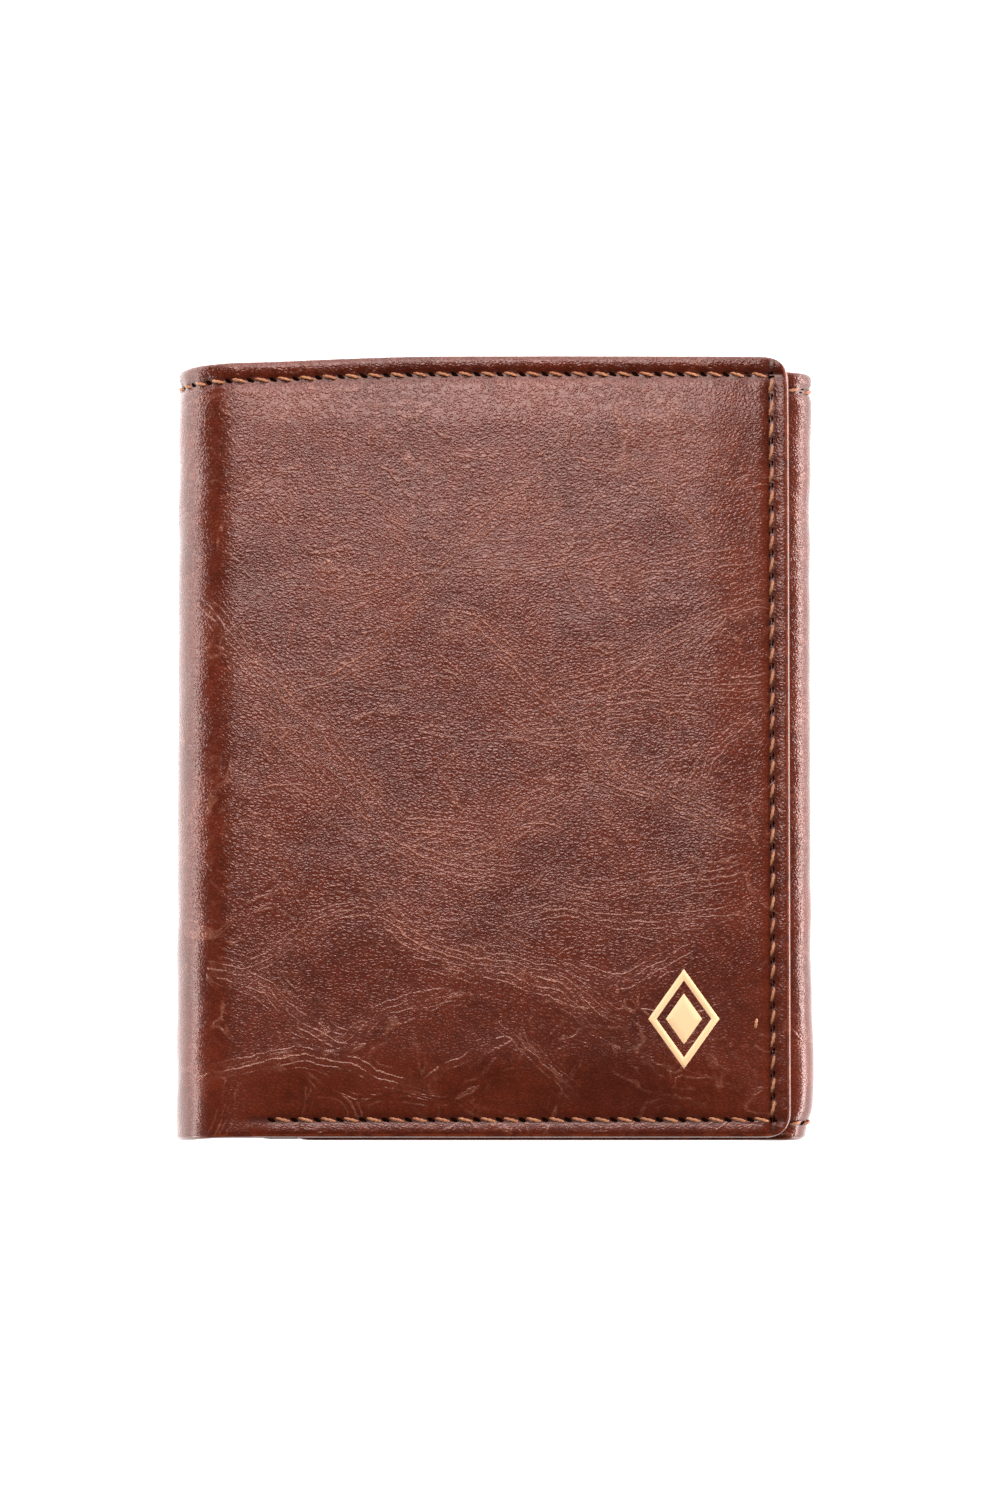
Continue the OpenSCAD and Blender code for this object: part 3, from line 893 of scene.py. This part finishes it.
def seam_shade_and_creases(panel):
    """Painted shade in the seams' ditches, a darker colour near the edges, and the flap's creases.
    """
    def marks(s, y):
        e_free, e_bottom, e_top = panel.gaps(s, y)
        sewn = 1.0 if panel.sewn_fold else smooth(s, panel.arc, panel.arc + SEWN_FROM)
        seam = np.maximum(dent(e_top, TOP_SEAM, SEAM_SHADE_WIDTH), dent(e_free, SEAM, SEAM_SHADE_WIDTH))
        seam = np.maximum(seam, dent(e_bottom, SEAM, SEAM_SHADE_WIDTH) * sewn)
        nearest = np.minimum(np.minimum(e_top, e_bottom), e_free)
        edge = 1 - smooth(nearest, 0, EDGE_DARK_REACH)
        seam_shade_edge_dark = np.clip(SEAM_SHADE * seam + EDGE_DARK * edge, 0, 1)
        if panel is not OUTER:
            return np.stack([seam_shade_edge_dark, *[np.zeros(s.shape)] * 4], -1)
        flat = (s - panel.arc + panel.x) / MM, y / MM
        return np.stack([seam_shade_edge_dark, *crease_field(FALLING, *flat), *crease_field(RISING, *flat)], -1)
    return marks


# The steps of the meshes, which are finer where a fold's two halves join.
OUTER_STEP, INNER_STEP, BACK_STEP = 0.45 * MM, 0.6 * MM, 0.8 * MM
HIDDEN_STEP, PLAIN_STEP = 0.9 * MM, 2 * MM
JOIN_NEAR, JOIN_STEP = 0.8 * MM, 0.12 * MM
# Layers that touch are kept this far apart.
AIR = 0.01 * MM
LINING_INSET = 0.15 * MM
LINING_BELOW_HEM = 0.8 * MM
WALL_INSET, WALL_BELOW_TOP = 0.1 * MM, 0.6 * MM
WALL_T = 0.6 * MM

# Each half of a fold: its panel, the start and end of its pieces' names, the starts of the
# names of the CAD nodes that they stand for, and the step of its skin.
HALVES = (
    (OUTER, "outer_flap", "", ("outer_flap", "left_fold"), OUTER_STEP),
    (BACK_LEFT, "back", "_left", ("back",), BACK_STEP),
    (BACK_RIGHT, "back", "_right", ("right_fold",), BACK_STEP),
    (INNER, "inner_flap", "", ("inner_flap",), INNER_STEP),
)


def inset_edges(panel, low, high):
    """The panel's bottom and top edges, moved in."""
    return (lambda s: panel.bottom(s) + low), (lambda s: panel.top(s) - high)


def skin(panel, name, nodes, step):
    """The outer leather over one half of a fold and the panel beside it."""
    d0, d1 = BACK_LEFT.depths("back_shell")
    mesh = sheet(panel, d0, d1, 0, panel.end, panel.bottom, panel.top, step,
                 rounded=True, back_extra=hem_turn(panel), at_s=(0,), near=JOIN_NEAR,
                 fine=JOIN_STEP, marks=seam_shade_and_creases(panel))
    finish_piece(mesh, name, panel, (OUTER_LEATHER, EDGE_PAINT), nodes)


def lining(panel, name, nodes):
    """The cloth behind the outer leather."""
    d0, d1 = BACK_LEFT.depths("back_lining")
    y0, y1 = inset_edges(panel, LINING_INSET, HEM + LINING_BELOW_HEM)
    end = panel.end - (LINING_INSET if panel.free else 0)
    mesh = sheet(panel, d0 + AIR, d1, 0, end, y0, y1, HIDDEN_STEP, rounded=True)
    piece = finish_piece(mesh, name, panel, (CLOTH, CLOTH), nodes)
    width = float(y1(panel.arc) - y0(panel.arc))


def divider(panel, name, nodes):
    """The wall between notes and cards, which meets the lining at the sewn edges."""
    d1 = BACK_LEFT.depths("back_divider")[1] - AIR
    y0, y1 = inset_edges(panel, WALL_INSET, WALL_BELOW_TOP)
    mesh = sheet(panel, d1 - WALL_T, d1, 0, panel.end, y0, y1, HIDDEN_STEP, rounded=True)
    finish_piece(mesh, name, panel, (INNER_LEATHER, EDGE_PAINT), nodes)


for panel, start, end, owners, step in HALVES:
    skin(panel, f"{start}_leather{end}", [f"{owner}_shell" for owner in owners], step)
for panel, start, end, owners, _ in HALVES:
    lining(panel, f"{start}_lining_cloth{end}", [f"{owner}_lining" for owner in owners])
for panel, start, end, owners, _ in HALVES:
    divider(panel, f"{start}_wall{end}", [f"{owner}_divider" for owner in owners])

# -------- card pockets and window

SLOT_GAP = 0.2 * MM
# The mesh is fine round a window and along the line a little below a pocket's mouth.
MOUTH_LINE = 1.5 * MM
MOUTH_NEAR, MOUTH_STEP = 0.6 * MM, 0.15 * MM


def pocket_sheet(panel, node, window):
    """A pocket panel between its CAD node's sides, with its mouth towards the top."""
    d0, d1 = panel.depths(node)
    low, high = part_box(node)
    near_x, far_x = (low.x, high.x) if panel.side < 0 else (high.x, low.x)
    s0, s1 = panel.s_of(near_x), panel.s_of(far_x)
    if panel.free:
        s1 = min(s1, panel.end)
    mouth = high.y
    return sheet(panel, d0 + SLOT_GAP, d1, s0, s1, panel.bottom, lambda s: mouth + 0 * s,
                 HIDDEN_STEP, rounded=panel.free, free_start=True, window=window,
                 at_s=window[:2] if window else (),
                 at_y=window[2:] if window else (mouth - MOUTH_LINE,),
                 near=MOUTH_NEAR, fine=MOUTH_STEP)


def pocket(panel, node, window=None):
    """One card pocket."""
    finish_piece(pocket_sheet(panel, node, window), node + "_leather", panel,
                 (INNER_LEATHER, EDGE_PAINT), (node,), crosses=False)


for level in ("upper", "middle", "lower"):
    pocket(OUTER, f"outer_flap_{level}_pocket")
    pocket(BACK, f"back_{level}_pocket")
pocket(INNER, "inner_flap_card_pocket")

WINDOW_LIP = 1.5 * MM
FILM_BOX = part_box("inner_flap_window")


def window_frame():
    """The identity card's frame, with its rounded window edge."""
    lip = Vector((WINDOW_LIP, WINDOW_LIP, 0))
    low, high = FILM_BOX[0] + lip, FILM_BOX[1] - lip
    window = (INNER.s_of(high.x), INNER.s_of(low.x), low.y, high.y)
    pocket(INNER, "inner_flap_window_frame", window)


def flat_layer(panel, node, name, material):
    """A plain thin layer that fills its CAD node's place."""
    low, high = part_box(node)
    ends = sorted((panel.s_of(low.x), panel.s_of(high.x)))
    d0, d1 = panel.depths(node)
    mesh = sheet(panel, d0, d1, *ends, lambda s: low.y + 0 * s, lambda s: high.y + 0 * s,
                 PLAIN_STEP, free_start=True)
    return finish_piece(mesh, name, panel, (material, material), (node,), crosses=False)


window_frame()
flat_layer(INNER, "inner_flap_window", "inner_flap_window_film", FILM)
flat_layer(OUTER, "outer_flap_filler", "outer_flap_filler_pad", FELT)

# -------- seams

THREAD_R = 0.22 * MM
THREAD_RINGS = 11
THREAD_SIDES = 8
# The two plies: how far they bulge, and how often they turn in one stitch.
PLY_BULGE = 0.2
PLY_TURNS = 1.6
# A stitch thins to this share at its ends; it takes up this share of the way between its
# holes, starts below the leather and rises above it.
STITCH_TIP = 0.35
STITCH_SHARE = 0.74
STITCH_SLANT = 0.26 * MM
STITCH_RISE = 0.26 * MM
STITCH_SINK = 0.30 * MM
# A needle hole is a slanted lens: its half sizes, its slants, and its rings' sizes and depths.
HOLE_LONG, HOLE_WIDE = 0.62 * MM, 0.30 * MM
HOLE_SLANT, HOLE_SHEAR = 0.25, 0.35
HOLE_SIDES = 12
HOLE_RINGS = ((0.15, -0.05 * MM), (0.75, -0.045 * MM), (1.0, 0.0), (0.8, 0.12 * MM),
              (0.2, 0.2 * MM))


def tube(mesh, points, slot, endless=False):
    """Joins rings of points (rings, sides, 3) into a tube with closed ends or into a loop."""
    rings, sides = points.shape[:2]
    start = mesh.add(points, np.zeros((rings * sides, 2)))
    index = start + np.arange(rings * sides).reshape(rings, sides)
    if endless:
        index = np.concatenate([index, index[:1]])
    after = np.roll(index, -1, 1)
    quads = np.stack([index[:-1], index[1:], after[1:], after[:-1]], -1).reshape(-1, 4)
    mesh.face(quads, slot)
    if not endless:
        mesh.faces += [index[0].tolist(), index[-1][::-1].tolist()]
        mesh.slots += [slot, slot]


def stitch(mesh, panel, a, b):
    """One raised, twisted stitch from hole a to hole b, a little aslant."""
    a, b = np.array(a, float), np.array(b, float)
    along = b - a
    across = np.array([-along[1], along[0]]) / np.hypot(*along)
    t = np.linspace(0, 1, THREAD_RINGS)[:, None]
    turn = np.linspace(0, 2 * math.pi, THREAD_SIDES, endpoint=False)[None, :]
    lobes = 1 + PLY_BULGE * np.cos(2 * (turn - 2 * math.pi * PLY_TURNS * t))
    arch = np.sin(math.pi * np.clip(t, 0.001, 0.999))
    taper = STITCH_TIP + (1 - STITCH_TIP) * arch**0.35
    radius = THREAD_R * lobes * taper
    share = 0.5 + (t - 0.5) * STITCH_SHARE
    side = STITCH_SLANT * (1 - 2 * t) + radius * np.cos(turn)
    lift = (STITCH_RISE + STITCH_SINK) * np.sin(math.pi * t) ** 0.75 - STITCH_SINK
    lift = lift - radius * np.sin(turn)
    s = a[0] + along[0] * share + across[0] * side
    y = a[1] + along[1] * share + across[1] * side
    tube(mesh, panel.place(s, y, -lift), 0)


def hole(mesh, panel, at, along):
    """A needle hole: a shallow lens pressed into the leather, painted near black as the shade
    inside it.
    """
    turn = np.linspace(0, 2 * math.pi, HOLE_SIDES, endpoint=False)
    along = np.array(along, float) / np.hypot(*along)
    rings = []
    for size, depth in HOLE_RINGS:
        u, v = HOLE_LONG * size * np.cos(turn), HOLE_WIDE * size * np.sin(turn)
        u, v = u + HOLE_SLANT * v, v - HOLE_SHEAR * u
        s = at[0] + u * along[0] - v * along[1]
        y = at[1] + u * along[1] + v * along[0]
        rings.append(panel.place(s, y, depth))
    # slot 1: the painted shade inside the hole
    tube(mesh, np.stack(rings), 1)


def seam(panel, name, holes, nodes, crosses=True, extra=()):
    """A row of stitches between neighbouring holes, and extra loose ones."""
    mesh = Mesh()
    for a, b in [*zip(holes, holes[1:]), *extra]:
        stitch(mesh, panel, a, b)
    for i, at in enumerate(holes):
        other = holes[i + 1] if i + 1 < len(holes) else holes[i - 1]
        hole(mesh, panel, at, np.subtract(other, at))
    finish_piece(mesh, name, panel, (THREAD, PAINTED_HOLE_SHADE), nodes, crosses)


def along_row(panel):
    """Where a seam along the whole panel has its holes, as distances along the leather."""
    return [k * panel.pitch for k in range(round(panel.row / panel.pitch) + 1)]


def top_row(panel):
    """The holes of the top seam."""
    return [(s, float(panel.top(s)) - TOP_SEAM) for s in along_row(panel)]


def bottom_row(panel, start=0.0):
    """The holes of the bottom seam, from start on."""
    row = [s for s in along_row(panel) if s > start - 0.1 * MM]
    return [(s, float(panel.bottom(s)) + SEAM) for s in row]


def side_row(panel):
    """The holes of the side seam, from the top down."""
    s = panel.end - SEAM
    y_top, y_bottom = float(panel.top(s)) - TOP_SEAM, float(panel.bottom(s)) + SEAM
    count = round((y_top - y_bottom) / panel.side_pitch)
    return [(s, y_top - k * panel.side_pitch) for k in range(count + 1)]


SEWN_START = OUTER.s_of(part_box("outer_flap_bottom_seam")[0].x)
# One loose stitch beside the side seam, from its upper hole to its lower one
BACKTACK = ((OUTER.end - 5.1 * MM, -37.2 * MM), (OUTER.end - 4.7 * MM, -39.3 * MM))

for panel, start, end, owners, _ in HALVES:
    seam(panel, f"{start}_top_stitches{end}", top_row(panel),
         [f"{owner}_top_seam" for owner in owners])
    if panel.free:
        seam(panel, f"{start}_side_stitches", side_row(panel), [f"{start}_side_seam"],
             crosses=False, extra=[BACKTACK] if panel is OUTER else ())
    seam(panel, f"{start}_bottom_stitches{end}",
         bottom_row(panel, 0 if panel.sewn_fold else SEWN_START),
         [f"{owners[0]}_bottom_seam"], crosses=panel.sewn_fold)

# -------- foil mark

FOIL_LINE = 1.2 * MM
FOIL_RISE = 0.035 * MM
FOIL_SIDES = 96
# Rings of the outline and of the full lozenge inside it: how far out, and how deep
OUTLINE_RINGS = ((0.0, FOIL_RISE), (0.05, -FOIL_RISE), (0.5, -FOIL_RISE), (0.95, -FOIL_RISE),
                 (1.0, FOIL_RISE))
CORE_RINGS = ((0.02, -FOIL_RISE), (0.5, -FOIL_RISE), (0.95, -FOIL_RISE), (1.0, FOIL_RISE),
              (0.3, FOIL_RISE))


def lozenge(half):
    """Points round a lozenge with the given half sizes."""
    turn = np.linspace(0, 2 * math.pi, FOIL_SIDES, endpoint=False)
    reach = 1 / (np.abs(np.cos(turn)) + np.abs(np.sin(turn)))
    return half[0] * reach * np.cos(turn), half[1] * reach * np.sin(turn)


def mark():
    """A lozenge outline round a small full lozenge, pressed into the outer flap."""
    low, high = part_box("outer_flap_mark")
    centre_s, centre_y = OUTER.s_of((low.x + high.x) / 2), (low.y + high.y) / 2
    half = np.array([high.x - low.x, high.y - low.y]) / 2
    band = FOIL_LINE * half / half[0]
    mesh = Mesh()

    def ring(size, depth):
        ds, dy = lozenge(size)
        return OUTER.place(centre_s + ds, centre_y + dy, depth)

    outline = [ring(half - band * (1 - share), depth) for share, depth in OUTLINE_RINGS]
    tube(mesh, np.stack(outline), 0, endless=True)
    core = half - 2 * band
    tube(mesh, np.stack([ring(core * share, depth) for share, depth in CORE_RINGS]), 0)
    finish_piece(mesh, "outer_flap_foil_mark", OUTER, (FOIL,), ("outer_flap_mark",),
                 crosses=False)


mark()

# -------- floor and light

FLOOR_SIZE = 6
FLOOR_GLOW = 1.9
WORLD_COLOUR, WORLD_STRENGTH = (0.9, 0.93, 1.0, 1), 0.04
# Softboxes: name, place, the point each faces, size in metres and power in watts
SOFTBOXES = (
    ("overhead", (-0.01, 0.44, 0.92), (0, 0, 0), (0.58, 0.50), 11),
    ("left", (-0.45, 0.0, 0.03), (0, 0, 0.02), (0.7, 0.07), 2.0),
    ("back", (0.0, 0.7, 0.36), (0, 0, 0.02), (0.8, 0.3), 6.0),
    ("right", (0.45, 0.0, 0.03), (0, 0, 0.02), (0.7, 0.07), 4),
)


def make_floor():
    """A plain pale floor, bright enough to look white."""
    n = Nodes("floor")
    speck = n.noise(n.place(), 30.0)[0]
    paper = n.mix(speck, rgb(244, 243, 242), rgb(250, 250, 250))
    material = n.principled(color=paper, roughness=0.9, emission=paper,
                            emission_strength=FLOOR_GLOW)
    bpy.ops.mesh.primitive_plane_add(size=FLOOR_SIZE, location=(0, 0, 0))
    floor = bpy.context.object
    floor.name = "floor"
    floor.data.materials.append(material)


def softbox(name, place, target, size, power):
    """A rectangular lamp that faces a point."""
    data = bpy.data.lights.new(name, "AREA")
    data.shape = "RECTANGLE"
    data.size, data.size_y = size
    data.energy = power
    lamp = bpy.data.objects.new(name, data)
    bpy.context.scene.collection.objects.link(lamp)
    lamp.location = place
    lamp.rotation_euler = (Vector(target) - Vector(place)).to_track_quat("-Z", "Y").to_euler()


def make_light():
    """A dim room and the softboxes."""
    world = bpy.data.worlds.new("studio")
    bpy.context.scene.world = world
    world.use_nodes = True
    background = world.node_tree.nodes["Background"]
    background.inputs[0].default_value = WORLD_COLOUR
    background.inputs[1].default_value = WORLD_STRENGTH
    for lamp in SOFTBOXES:
        softbox(*lamp)
    bpy.context.scene.view_settings.view_transform = "Standard"


make_floor()
make_light()
